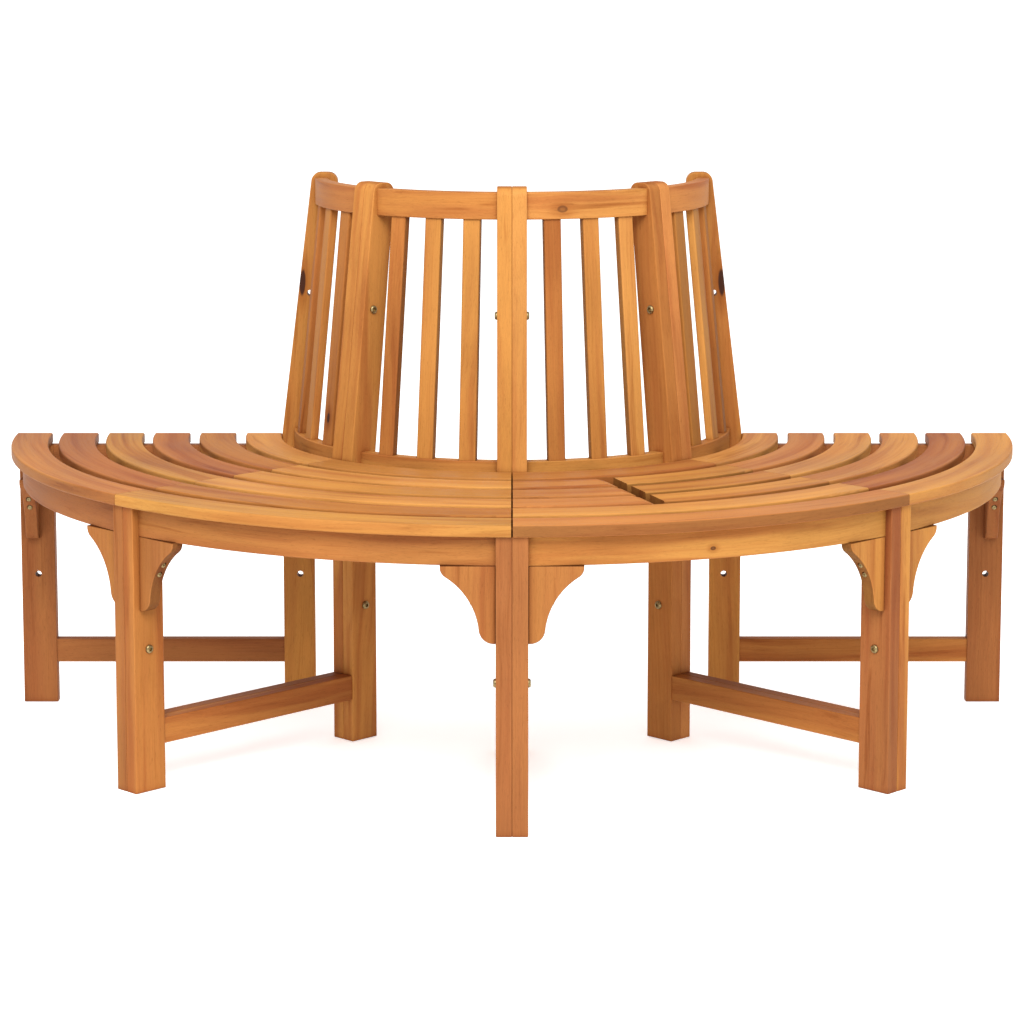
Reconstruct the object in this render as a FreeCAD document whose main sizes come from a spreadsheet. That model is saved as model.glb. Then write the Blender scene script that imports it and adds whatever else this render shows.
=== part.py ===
import FreeCAD, Part
import math
import os
import Sketcher

# Half-round tree bench in millimetres. Z is up from the floor, and the open side that faces the
# tree is +Y. Four bench sections of equal angle stand side by side about the tree's axis, and
# neighbours are bolted together through their end frames. The origin is on the floor, midway
# between the bench's front and its open back.

doc = FreeCAD.newDocument("tree_bench")

Vector = FreeCAD.Vector
Rotation = FreeCAD.Rotation
Placement = FreeCAD.Placement

SECTIONS = ("left_wing", "left_front", "right_front", "right_wing")
WINGS = ("left_wing", "right_wing")
SLOTTED_SECTION = "right_front"
SIDES = ("left", "right")
HEXAGON_SIDES = 6

# Points nearer to each other than this are one place
SAME_PLACE = 0.01

# Driving dimensions
SIZES = {
    "section_angle": 45,
    "seat_outer_radius": 800,
    "seat_height": 440,
    "board_count": 6,
    "board_width": 58,
    "board_gap": 16.2,
    "board_thickness": 17,
    "board_edge_round": 3,
    "board_joint_gap": 2.5,
    "wing_joint_gap": 0.6,
    "wing_joint_shift": 10,
    "board_overhang": 6,
    "timber_edge_round": 1.5,
    "frame_thickness": 22.5,
    "front_leg_depth": 54.5,
    "rear_leg_depth": 50,
    "rear_leg_clearance": 1,
    "frame_rail_thickness": 20.5,
    "stretcher_height": 38,
    "stretcher_floor_gap": 66,
    "bearer_height": 60,
    "overall_height": 863,
    "back_lean": 7,
    "post_top_depth": 42,
    "post_top_round": 15,
    "back_rail_thickness": 20,
    "top_rail_setback": 4.5,
    "top_rail_height": 41,
    "top_rail_drop": 8,
    "bottom_rail_setback": 19,
    "bottom_rail_height": 43,
    "bottom_rail_rise": 12,
    "slat_count": 3,
    "slat_width": 27,
    "slat_thickness": 13,
    "slat_edge_round": 2.5,
    "slat_housing": 10,
    "slat_fit": 0.15,
    "apron_setback": 11,
    "apron_thickness": 20,
    "apron_height": 43,
    "bracket_length": 77,
    "bracket_height": 109.5,
    "bracket_thickness": 19.5,
    "bracket_bite_radius": 101,
    "bracket_bite_past_tip": 46.8,
    "bracket_bite_drop": 100.9,
    "bracket_tip_round": 16,
    "bracket_foot_round": 21,
    "screws_per_bracket": 2,
    "screw_drop": 37,
    "screw_spacing": 15,
    "screw_head_diameter": 8,
    "screw_head_height": 2.6,
    "screw_head_round": 2,
    "screw_diameter": 4,
    "screw_bite": 17,
    "screw_socket_size": 3,
    "screw_socket_depth": 1.5,
    "screw_fit": 0.1,
    "counterbore_fit": 0.4,
    "batten_width": 45,
    "batten_height": 25,
    "slot_angle": 18.8,
    "slot_width": 15,
    "slot_first_board": 3,
    "slot_last_board": 5,
    "slot_bevel_width": 14,
    "slot_bevel_depth": 4,
    "bolt_hole_diameter": 10,
    "leg_bolt_height": 212,
    "leg_bolt_inset": 27,
    "post_bolt_height": 670,
    "post_bolt_inset": 19,
    "bolt_head_diameter": 12.7,
    "bolt_head_height": 3.7,
    "bolt_head_round": 3,
    "bolt_socket_size": 6,
    "bolt_socket_depth": 2.4,
    "bolt_shank_diameter": 6,
    "bolt_shank_length": 34,
    "sleeve_diameter": 9.7,
    "sleeve_length": 40,
    "sleeve_bore_fit": 0.1,
}

sheet = doc.addObject("Spreadsheet::Sheet", "sizes")
for row, (alias, size) in enumerate(SIZES.items(), start=1):
    sheet.set(f"A{row}", alias)
    sheet.set(f"B{row}", str(size))
    sheet.setAlias(f"B{row}", alias)
doc.recompute()

# Places worked out from the driving dimensions, as expressions
SEAT_INNER_RADIUS = (
    "(sizes.seat_outer_radius - sizes.board_count * sizes.board_width"
    " - (sizes.board_count - 1) * sizes.board_gap)"
)
FRONT_LEG_FACE = "(sizes.seat_outer_radius - sizes.board_overhang)"
FRONT_LEG_BACK = f"({FRONT_LEG_FACE} - sizes.front_leg_depth)"
REAR_LEG_FACE = f"({SEAT_INNER_RADIUS} - sizes.rear_leg_clearance)"
REAR_LEG_BACK = f"({REAR_LEG_FACE} - sizes.rear_leg_depth)"
SEAT_UNDERSIDE = "(sizes.seat_height - sizes.board_thickness)"
POST_TOP_FACE = f"({REAR_LEG_FACE} - (sizes.overall_height - sizes.seat_height) * tan(sizes.back_lean))"
POST_BOLT_RADIUS = (
    f"({REAR_LEG_FACE} - (sizes.post_bolt_height - sizes.seat_height) * tan(sizes.back_lean)"
    " - sizes.post_bolt_inset)"
)
FRONT_BOLT_RADIUS = f"({FRONT_LEG_FACE} - sizes.leg_bolt_inset)"
REAR_BOLT_RADIUS = f"({REAR_LEG_FACE} - sizes.leg_bolt_inset)"
APRON_RADIUS = f"({FRONT_LEG_FACE} - sizes.apron_setback)"
APRON_UNDERSIDE = f"({SEAT_UNDERSIDE} - sizes.apron_height)"
TOP_RAIL_TOP = "(sizes.overall_height - sizes.top_rail_drop)"
TOP_RAIL_UNDERSIDE = f"({TOP_RAIL_TOP} - sizes.top_rail_height)"
TOP_RAIL_RADIUS = (
    f"({REAR_LEG_FACE} - ({TOP_RAIL_TOP} - sizes.seat_height) * tan(sizes.back_lean)"
    " - sizes.top_rail_setback)"
)
BOTTOM_RAIL_TOP = "(sizes.seat_height + sizes.bottom_rail_rise)"
BOTTOM_RAIL_RADIUS = f"({REAR_LEG_FACE} - sizes.bottom_rail_setback)"
SLAT_RUN = f"({BOTTOM_RAIL_RADIUS} - {TOP_RAIL_RADIUS})"
SLAT_RISE = f"({TOP_RAIL_UNDERSIDE} - {BOTTOM_RAIL_TOP})"
SLAT_LENGTH = f"(sqrt({SLAT_RUN}^2 + {SLAT_RISE}^2) + 2 * sizes.slat_housing)"
LEFT_SEAM = "(-sizes.section_angle / 2)"
RIGHT_SEAM = "(sizes.section_angle / 2)"
SLOT_LINE = f"({LEFT_SEAM} + sizes.slot_angle)"


def value(expression):
    """The number that an expression over the driving dimensions comes to."""
    return float(doc.getObject("sizes").evalExpression(expression.replace("sizes.", "")))


def new_body(name):
    return doc.addObject("PartDesign::Body", name)


def origin_plane(body, role):
    return next(plane for plane in body.Origin.OriginFeatures if plane.Role == role)


def new_sketch(body, role):
    sketch = body.newObject("Sketcher::SketchObject", f"{body.Name}_outline")
    sketch.AttachmentSupport = [(origin_plane(body, role), "")]
    sketch.MapMode = "FlatFace"
    return sketch


def bind_constraint(sketch, constraint, expression):
    index = sketch.addConstraint(constraint)
    sketch.setExpression(f"Constraints[{index}]", expression)


def draw_polygon(sketch, corners):
    """A closed outline through corners, each an (across, up) pair of expressions."""
    points = [Vector(value(across), value(up), 0) for across, up in corners]
    first = sketch.GeometryCount
    for start, end in zip(points, points[1:] + points[:1]):
        sketch.addGeometry(Part.LineSegment(start, end), False)
    for number, (across, up) in enumerate(corners):
        line = first + number
        following = first + (number + 1) % len(corners)
        sketch.addConstraint(Sketcher.Constraint("Coincident", line, 2, following, 1))
        bind_constraint(sketch, Sketcher.Constraint("DistanceX", -1, 1, line, 1, value(across)), across)
        bind_constraint(sketch, Sketcher.Constraint("DistanceY", -1, 1, line, 1, value(up)), up)


def draw_circle(sketch, across, up, diameter):
    centre = Vector(value(across), value(up), 0)
    circle = sketch.addGeometry(Part.Circle(centre, Vector(0, 0, 1), value(diameter) / 2), False)
    bind_constraint(sketch, Sketcher.Constraint("DistanceX", -1, 1, circle, 3, centre.x), across)
    bind_constraint(sketch, Sketcher.Constraint("DistanceY", -1, 1, circle, 3, centre.y), up)
    bind_constraint(sketch, Sketcher.Constraint("Diameter", circle, value(diameter)), diameter)


def pad(body, sketch, length, reverse=False):
    feature = body.newObject("PartDesign::Pad", f"{body.Name}_pad")
    feature.Profile = sketch
    feature.setExpression("Length", length)
    feature.Reversed = reverse
    sketch.Visibility = False
    doc.recompute()
    return feature


def round_edges(body, base, chosen, radius):
    """Round the edges of the base feature for which chosen(edge) is true."""
    names = [f"Edge{number}" for number, edge in enumerate(base.Shape.Edges, start=1) if chosen(edge)]
    feature = body.newObject("PartDesign::Fillet", f"{body.Name}_round")
    feature.Base = (base, names)
    feature.setExpression("Radius", radius)
    doc.recompute()
    return feature


def is_side_edge(edge):
    """An edge of the two broad sides of a plate that lies in the XZ plane, holes left out."""
    return edge.BoundBox.YLength < SAME_PLACE and not edge.isClosed()


def is_lengthwise_edge(edge):
    box = edge.BoundBox
    return box.XLength > SAME_PLACE and max(box.YLength, box.ZLength) < SAME_PLACE


def is_upright_edge(edge):
    box = edge.BoundBox
    return box.ZLength > SAME_PLACE and max(box.XLength, box.YLength) < SAME_PLACE


def is_curved_edge(edge):
    """A long edge of a curved board."""
    return edge.Curve.TypeId == "Part::GeomCircle" and edge.BoundBox.ZLength < SAME_PLACE


def add_primitive(body, kind, place, **expressions):
    """An additive or subtractive primitive, set at a placement in its body."""
    feature = body.newObject(f"PartDesign::{kind}", f"{body.Name}_{kind}")
    feature.AttachmentSupport = [(origin_plane(body, "XY_Plane"), "")]
    feature.MapMode = "FlatFace"
    feature.AttachmentOffset = place
    for size, expression in expressions.items():
        feature.setExpression(size, expression)
    doc.recompute()
    return feature


def curved_board(name, outer, width, height, ends, edge_round):
    """A board curved about the tree's axis, lying flat on the XY plane of its section.

    The ends are two (angle, inset) pairs: each end is cut straight, parallel to the line that
    leaves the axis at that angle, and lies that far inside it, or outside it where the inset is
    below zero.
    """
    body = new_body(name)
    sketch = new_sketch(body, "XY_Plane")
    inner = f"({outer} - {width})"
    arcs = []
    for radius in (inner, outer):
        reach = value(radius)
        start, end = (math.radians(value(angle)) for angle, _ in ends)
        start += math.asin(value(ends[0][1]) / reach)
        end -= math.asin(value(ends[1][1]) / reach)
        circle = Part.Circle(Vector(0, 0, 0), Vector(0, 0, 1), reach)
        arc = sketch.addGeometry(Part.ArcOfCircle(circle, start, end), False)
        sketch.addConstraint(Sketcher.Constraint("Coincident", arc, 3, -1, 1))
        bind_constraint(sketch, Sketcher.Constraint("Radius", arc, reach), radius)
        arcs.append(arc)
    for point, (angle, inset) in enumerate(ends, start=1):
        corners = [sketch.getPoint(arc, point) for arc in arcs]
        line = sketch.addGeometry(Part.LineSegment(*corners), False)
        sketch.addConstraint(Sketcher.Constraint("Coincident", line, 1, arcs[0], point))
        sketch.addConstraint(Sketcher.Constraint("Coincident", line, 2, arcs[1], point))
        bind_constraint(sketch, Sketcher.Constraint("Angle", line, math.radians(value(angle))), angle)
        distance = f"abs({inset})"
        bind_constraint(sketch, Sketcher.Constraint("Distance", -1, 1, line, value(distance)), distance)
    board = pad(body, sketch, height)
    round_edges(body, board, is_curved_edge, edge_round)
    return body


def make_front_leg():
    body = new_body("front_leg")
    sketch = new_sketch(body, "XZ_Plane")
    draw_polygon(sketch, [
        (FRONT_LEG_BACK, "0"),
        (FRONT_LEG_FACE, "0"),
        (FRONT_LEG_FACE, SEAT_UNDERSIDE),
        (FRONT_LEG_BACK, SEAT_UNDERSIDE),
    ])
    draw_circle(sketch, FRONT_BOLT_RADIUS, "sizes.leg_bolt_height", "sizes.bolt_hole_diameter")
    leg = pad(body, sketch, "sizes.frame_thickness", reverse=True)
    round_edges(body, leg, is_side_edge, "sizes.timber_edge_round")
    return body


def drill_front_leg(leg, side):
    """The front leg of one side, with blind holes for the bracket screws in its inner face."""
    drills = []
    for screw in bracket_screw_numbers():
        drill = doc.addObject("Part::Cylinder", f"{side}_screw_drill_{screw}")
        drill.setExpression("Radius", "sizes.screw_diameter / 2 + sizes.screw_fit")
        drill.setExpression("Height", "sizes.screw_bite + sizes.screw_fit")
        inner_face = "sizes.frame_thickness" if side == "left" else "0"
        inwards = 90 if side == "left" else -90
        centre = Vector(
            value(f"{APRON_RADIUS} - sizes.bracket_thickness / 2"),
            value(inner_face),
            value(f"{APRON_UNDERSIDE} - {screw_drop(screw)}"),
        )
        drill.Placement = Placement(centre, Rotation(Vector(1, 0, 0), inwards))
        drills.append(drill)
    both = doc.addObject("Part::Compound", f"{side}_screw_drills")
    both.Links = drills
    drilled = doc.addObject("Part::Cut", f"{side}_front_leg")
    drilled.Base = leg
    drilled.Tool = both
    doc.recompute()
    return drilled


def make_back_post():
    """The rear leg, which leans towards the tree above the seat and is rounded at its top."""
    body = new_body("back_post")
    sketch = new_sketch(body, "XZ_Plane")
    draw_polygon(sketch, [
        (REAR_LEG_BACK, "0"),
        (REAR_LEG_FACE, "0"),
        (REAR_LEG_FACE, "sizes.seat_height"),
        (POST_TOP_FACE, "sizes.overall_height"),
        (f"{POST_TOP_FACE} - sizes.post_top_depth", "sizes.overall_height"),
        (REAR_LEG_BACK, "sizes.seat_height"),
    ])
    draw_circle(sketch, REAR_BOLT_RADIUS, "sizes.leg_bolt_height", "sizes.bolt_hole_diameter")
    draw_circle(sketch, POST_BOLT_RADIUS, "sizes.post_bolt_height", "sizes.bolt_hole_diameter")
    post = pad(body, sketch, "sizes.frame_thickness", reverse=True)
    top = value("sizes.overall_height")

    def is_top_corner(edge):
        return edge.BoundBox.ZMin > top - SAME_PLACE and edge.BoundBox.XLength < SAME_PLACE

    post = round_edges(body, post, is_top_corner, "sizes.post_top_round")
    round_edges(body, post, is_side_edge, "sizes.timber_edge_round")
    return body


def make_frame_rail(name, height, underside):
    """A straight rail from the front leg to the rear leg."""
    body = new_body(name)
    place = Placement(Vector(value(REAR_LEG_FACE), 0, value(underside)), Rotation())
    rail = add_primitive(
        body, "AdditiveBox", place,
        Length=f"{FRONT_LEG_BACK} - {REAR_LEG_FACE}",
        Width="sizes.frame_rail_thickness",
        Height=height,
    )
    round_edges(body, rail, is_lengthwise_edge, "sizes.timber_edge_round")
    return body


def make_batten(name, angle):
    """A flat batten under the boards, from the back's bottom rail to the apron, out along an angle."""
    body = new_body(name)
    apron_reach = (
        f"sqrt(({APRON_RADIUS} - sizes.apron_thickness)^2 - (sizes.batten_width / 2)^2)"
    )
    corner = Vector(
        value(BOTTOM_RAIL_RADIUS),
        -value("sizes.batten_width / 2"),
        value(f"{SEAT_UNDERSIDE} - sizes.batten_height"),
    )
    add_primitive(
        body, "AdditiveBox", Placement(corner, Rotation()),
        Length=f"{apron_reach} - {BOTTOM_RAIL_RADIUS}",
        Width="sizes.batten_width",
        Height="sizes.batten_height",
    )
    body.Placement = Placement(Vector(), Rotation(Vector(0, 0, 1), value(angle)))
    return body


def bracket_screw_numbers():
    return range(int(value("sizes.screws_per_bracket")))


def screw_drop(screw):
    """How far below the apron a bracket screw lies."""
    return f"(sizes.screw_drop + {screw} * sizes.screw_spacing)"


def screw_seat(screw):
    """How far from the leg the head of a bracket screw sits, just under the curved edge."""
    return (
        "(sizes.bracket_length + sizes.bracket_bite_past_tip - sqrt(sizes.bracket_bite_radius^2"
        f" - (sizes.bracket_bite_drop - {screw_drop(screw)} - sizes.screw_head_diameter / 2)^2))"
    )


def make_bracket():
    """An ogee bracket: a plate with a round bite out of it, and both horns of the bite rounded.

    X runs from the leg's face to the tip, and the top edge is at Z = 0.
    """
    body = new_body("bracket")
    sketch = new_sketch(body, "XZ_Plane")
    draw_polygon(sketch, [
        ("0", "-sizes.bracket_height"),
        ("sizes.bracket_length", "-sizes.bracket_height"),
        ("sizes.bracket_length", "0"),
        ("0", "0"),
    ])
    plate = pad(body, sketch, "sizes.bracket_thickness", reverse=True)
    bite_centre = Vector(
        value("sizes.bracket_length + sizes.bracket_bite_past_tip"),
        value("2 * sizes.bracket_thickness"),
        -value("sizes.bracket_bite_drop"),
    )
    across_plate = Rotation(Vector(1, 0, 0), 90)
    plate = add_primitive(
        body, "SubtractiveCylinder", Placement(bite_centre, across_plate),
        Radius="sizes.bracket_bite_radius",
        Height="4 * sizes.bracket_thickness",
    )
    bite_radius = value("sizes.bracket_bite_radius")

    def is_horn(edge):
        if max(edge.BoundBox.XLength, edge.BoundBox.ZLength) > SAME_PLACE:
            return False
        reach = math.hypot(edge.Vertexes[0].X - bite_centre.x, edge.Vertexes[0].Z - bite_centre.z)
        return abs(reach - bite_radius) < SAME_PLACE

    horns = sorted((edge for edge in plate.Shape.Edges if is_horn(edge)), key=lambda edge: edge.BoundBox.ZMin)
    foot_height = horns[0].BoundBox.ZMin
    tip_height = horns[-1].BoundBox.ZMin
    plate = round_edges(
        body, plate,
        lambda edge: is_horn(edge) and abs(edge.BoundBox.ZMin - foot_height) < SAME_PLACE,
        "sizes.bracket_foot_round",
    )
    plate = round_edges(
        body, plate,
        lambda edge: is_horn(edge) and abs(edge.BoundBox.ZMin - tip_height) < SAME_PLACE,
        "sizes.bracket_tip_round",
    )
    round_edges(body, plate, is_side_edge, "sizes.timber_edge_round")
    outwards = Rotation(Vector(0, 1, 0), 90)
    for screw in bracket_screw_numbers():
        axis_start = Vector(0, value("sizes.bracket_thickness / 2"), -value(screw_drop(screw)))
        seat = axis_start + Vector(value(screw_seat(screw)), 0, 0)
        add_primitive(
            body, "SubtractiveCylinder", Placement(axis_start, outwards),
            Radius="sizes.screw_diameter / 2 + sizes.screw_fit",
            Height=screw_seat(screw),
        )
        add_primitive(
            body, "SubtractiveCylinder", Placement(seat, outwards),
            Radius="sizes.screw_head_diameter / 2 + sizes.counterbore_fit",
            Height="sizes.bracket_length",
        )
    return body


def slat_place(number, margin):
    """Where a back slat's lower inner corner is, with a margin all round for its housing.

    Slats stand at equal angles and lean in the plane through the tree's axis, from the middle of
    the bottom rail's thickness to the middle of the top rail's.
    """
    angle = value(f"{LEFT_SEAM} + {number + 1} * sizes.section_angle / (sizes.slat_count + 1)")
    lean = math.degrees(math.atan2(value(SLAT_RUN), value(SLAT_RISE)))
    foot = Vector(
        value(f"{BOTTOM_RAIL_RADIUS} - sizes.back_rail_thickness / 2"),
        0,
        value(BOTTOM_RAIL_TOP),
    )
    corner = Vector(
        -value("sizes.slat_thickness / 2") - margin,
        -value("sizes.slat_width / 2") - margin,
        -value("sizes.slat_housing") - margin,
    )
    around = Placement(Vector(), Rotation(Vector(0, 0, 1), angle))
    leaning = Placement(foot, Rotation(Vector(0, 1, 0), -lean))
    return around * leaning * Placement(corner, Rotation())


def make_slats():
    slats = []
    for number in range(int(value("sizes.slat_count"))):
        body = new_body(f"slat_{number + 1}")
        slat = add_primitive(
            body, "AdditiveBox", Placement(),
            Length="sizes.slat_thickness",
            Width="sizes.slat_width",
            Height=SLAT_LENGTH,
        )
        round_edges(body, slat, is_upright_edge, "sizes.slat_edge_round")
        body.Placement = slat_place(number, 0)
        slats.append(body)
    return slats


def make_back_rail(name, radius, height, underside):
    """A curved rail of the back between two posts, with a housing for each slat."""
    post_side = "sizes.frame_thickness"
    body = curved_board(
        name, radius, "sizes.back_rail_thickness", height,
        [(LEFT_SEAM, post_side), (RIGHT_SEAM, post_side)],
        "sizes.timber_edge_round",
    )
    lift = Vector(0, 0, value(underside))
    for number in range(int(value("sizes.slat_count"))):
        housing = slat_place(number, value("sizes.slat_fit"))
        housing.Base -= lift
        add_primitive(
            body, "SubtractiveBox", housing,
            Length="sizes.slat_thickness + 2 * sizes.slat_fit",
            Width="sizes.slat_width + 2 * sizes.slat_fit",
            Height=f"{SLAT_LENGTH} + 2 * sizes.slat_fit",
        )
    body.Placement = Placement(lift, Rotation())
    return body


def make_apron():
    leg_side = "sizes.frame_thickness"
    body = curved_board(
        "apron", APRON_RADIUS, "sizes.apron_thickness", "sizes.apron_height",
        [(LEFT_SEAM, leg_side), (RIGHT_SEAM, leg_side)],
        "sizes.timber_edge_round",
    )
    body.Placement = Placement(Vector(0, 0, value(APRON_UNDERSIDE)), Rotation())
    return body


def board_radius(number):
    """The outer radius of a seat board, counted from the rim."""
    return f"(sizes.seat_outer_radius - {number - 1} * (sizes.board_width + sizes.board_gap))"


def make_board(name, number, ends):
    body = curved_board(
        name, board_radius(number), "sizes.board_width", "sizes.board_thickness",
        ends, "sizes.board_edge_round",
    )
    body.Placement = Placement(Vector(0, 0, value(SEAT_UNDERSIDE)), Rotation())
    return body


def board_inset(section, neighbour):
    """How far short of a joint a section's boards stop, or past it where this is below zero.

    Where a wing meets a front section, the front section's boards reach over the wing's frame.
    """
    if neighbour is None or (section in WINGS) == (neighbour in WINGS):
        return "(sizes.board_joint_gap / 2)"
    if section in WINGS:
        return "(sizes.wing_joint_shift + sizes.wing_joint_gap / 2)"
    return "(sizes.wing_joint_gap / 2 - sizes.wing_joint_shift)"


def board_ends(section):
    """The left and right ends of a section's boards, as curved_board takes them."""
    row = (None, *SECTIONS, None)
    place = row.index(section)
    return [
        (LEFT_SEAM, board_inset(section, row[place - 1])),
        (RIGHT_SEAM, board_inset(section, row[place + 1])),
    ]


def make_whole_board(section, number):
    return make_board(f"{section}_board_{number}", number, board_ends(section))


def make_slotted_board(section, number):
    """The two lengths of a board that the slot cuts through, the left one bevelled at the slot."""
    slot_side = "sizes.slot_width / 2"
    left_end, right_end = board_ends(section)
    name = f"{section}_board_{number}"
    left = make_board(f"{name}_left", number, [left_end, (SLOT_LINE, slot_side)])
    right = make_board(f"{name}_right", number, [(SLOT_LINE, slot_side), right_end])
    along_slot = Placement(Vector(), Rotation(Vector(0, 0, 1), value(SLOT_LINE)))
    bevel_width = value("sizes.slot_bevel_width")
    bevel_depth = value("sizes.slot_bevel_depth")
    high_edge = Vector(0, -value(slot_side) - bevel_width, value("sizes.board_thickness"))
    slope = Rotation(Vector(1, 0, 0), -math.degrees(math.atan2(bevel_depth, bevel_width)))
    add_primitive(
        left, "SubtractiveBox", along_slot * Placement(high_edge, slope),
        Length=board_radius(number),
        Width="2 * sizes.slot_bevel_width",
        Height="sizes.board_thickness",
    )
    return [left, right]


def make_fastener(name, head_diameter, head_height, head_round, shank_diameter, shank_length, socket):
    """A domed head above Z = 0 with a hexagon socket, and a plain round shank below it."""
    body = new_body(name)
    head = add_primitive(
        body, "AdditiveCylinder", Placement(),
        Radius=f"{head_diameter} / 2",
        Height=head_height,
    )
    top = value(head_height)
    head = round_edges(body, head, lambda edge: edge.BoundBox.ZMin > top - SAME_PLACE, head_round)
    below = Vector(0, 0, -value(shank_length))
    add_primitive(
        body, "AdditiveCylinder", Placement(below, Rotation()),
        Radius=f"{shank_diameter} / 2",
        Height=shank_length,
    )
    socket_size, socket_depth = socket
    socket_floor = Vector(0, 0, top - value(socket_depth))
    prism = add_primitive(
        body, "SubtractivePrism", Placement(socket_floor, Rotation()),
        Circumradius=f"{socket_size} / 2",
        Height=f"2 * {socket_depth}",
    )
    prism.Polygon = HEXAGON_SIDES
    doc.recompute()
    return body


def make_bolt(name, shank_diameter, shank_length):
    return make_fastener(
        name, "sizes.bolt_head_diameter", "sizes.bolt_head_height", "sizes.bolt_head_round",
        shank_diameter, shank_length, ("sizes.bolt_socket_size", "sizes.bolt_socket_depth"),
    )


def make_sleeve_nut():
    """A sleeve with a domed head, bored to take the bolt's shank."""
    body = make_bolt("sleeve_nut", "sizes.sleeve_diameter", "sizes.sleeve_length")
    mouth = Vector(0, 0, -value("sizes.sleeve_length"))
    add_primitive(
        body, "SubtractiveCylinder", Placement(mouth, Rotation()),
        Radius="sizes.bolt_shank_diameter / 2 + sizes.sleeve_bore_fit",
        Height="sizes.sleeve_length",
    )
    return body


def make_screw(screw):
    return make_fastener(
        f"bracket_screw_{screw}", "sizes.screw_head_diameter", "sizes.screw_head_height",
        "sizes.screw_head_round", "sizes.screw_diameter", f"({screw_seat(screw)} + sizes.screw_bite)",
        ("sizes.screw_socket_size", "sizes.screw_socket_depth"),
    )


# Places on the bench

section_angle = value("sizes.section_angle")
tree_axis = Vector(0, value("sizes.seat_outer_radius") / 2, 0)
front_turn = 270


def turned(angle, base=Vector()):
    return Placement(base, Rotation(Vector(0, 0, 1), angle))


def section_place(index):
    """The middle of a section, counted from the left as seen from the front."""
    return turned(front_turn + (index - (len(SECTIONS) - 1) / 2) * section_angle, tree_axis)


def seam_place(index):
    """The joint between two sections; index 0 is the bench's left end."""
    return turned(front_turn + (index - len(SECTIONS) / 2) * section_angle, tree_axis)


def frame_place(index, side, thickness):
    """A frame piece of one side of a section, flush with the joint to the next section."""
    if side == "left":
        return seam_place(index)
    return seam_place(index + 1) * Placement(Vector(0, -thickness, 0), Rotation())


def bracket_place(side):
    """A bracket in its section: against the front leg's inner face and under the apron."""
    outer = value(APRON_RADIUS)
    leg_side = value("sizes.frame_thickness")
    underside = value(APRON_UNDERSIDE)
    if side == "left":
        return turned(-section_angle / 2) * turned(90, Vector(outer, leg_side, underside))
    inner = outer - value("sizes.bracket_thickness")
    return turned(section_angle / 2) * turned(-90, Vector(inner, -leg_side, underside))


def screw_place(screw):
    """A bracket screw in its bracket, with the head away from the leg."""
    seat = Vector(value(screw_seat(screw)), value("sizes.bracket_thickness / 2"), -value(screw_drop(screw)))
    return Placement(seat, Rotation(Vector(0, 1, 0), 90))


def joint_places(direction):
    """The three fastener places of a joint, on its left side (-1) or its right side (+1)."""
    side_face = direction * value("sizes.frame_thickness")
    holes = (
        (FRONT_BOLT_RADIUS, "sizes.leg_bolt_height"),
        (REAR_BOLT_RADIUS, "sizes.leg_bolt_height"),
        (POST_BOLT_RADIUS, "sizes.post_bolt_height"),
    )
    outwards = Rotation(Vector(1, 0, 0), -90 * direction)
    return [Placement(Vector(value(radius), side_face, value(up)), outwards) for radius, up in holes]


# Sub-parts

nodes = []


def add_node(name, pieces, place):
    """A sub-part of the bench: the given pieces, set at a place."""
    node = doc.addObject("Part::Compound", name)
    node.Label = name
    node.Links = pieces
    node.Placement = place
    nodes.append(node)
    return node


def place_copies(name, pairs):
    """Copies of pieces for a shared sub-part, from (piece, place) pairs."""
    copies = []
    for number, (piece, place) in enumerate(pairs, start=1):
        copy = doc.addObject("Part::Compound", f"{name}_{number}")
        copy.Links = [piece]
        copy.Placement = place
        copies.append(copy)
    return copies


front_leg = make_front_leg()
front_legs = {side: drill_front_leg(front_leg, side) for side in SIDES}
back_post = make_back_post()
seat_bearer = make_frame_rail("seat_bearer", "sizes.bearer_height", f"{SEAT_UNDERSIDE} - sizes.bearer_height")
stretcher = make_frame_rail("stretcher", "sizes.stretcher_height", "sizes.stretcher_floor_gap")
apron = make_apron()
bracket = make_bracket()
top_rail = make_back_rail("top_rail", TOP_RAIL_RADIUS, "sizes.top_rail_height", TOP_RAIL_UNDERSIDE)
bottom_rail = make_back_rail(
    "bottom_rail", BOTTOM_RAIL_RADIUS, "sizes.bottom_rail_height",
    f"{BOTTOM_RAIL_TOP} - sizes.bottom_rail_height",
)
slats = make_slats()
board_numbers = range(1, int(value("sizes.board_count")) + 1)
slot_numbers = range(int(value("sizes.slot_first_board")), int(value("sizes.slot_last_board")) + 1)
middle_batten = make_batten("middle_batten", "0")
slot_batten = make_batten("slot_batten", SLOT_LINE)
bolt = make_bolt("sleeve_bolt", "sizes.bolt_shank_diameter", "sizes.bolt_shank_length")
sleeve_nut = make_sleeve_nut()
screws = [make_screw(screw) for screw in bracket_screw_numbers()]

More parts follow.
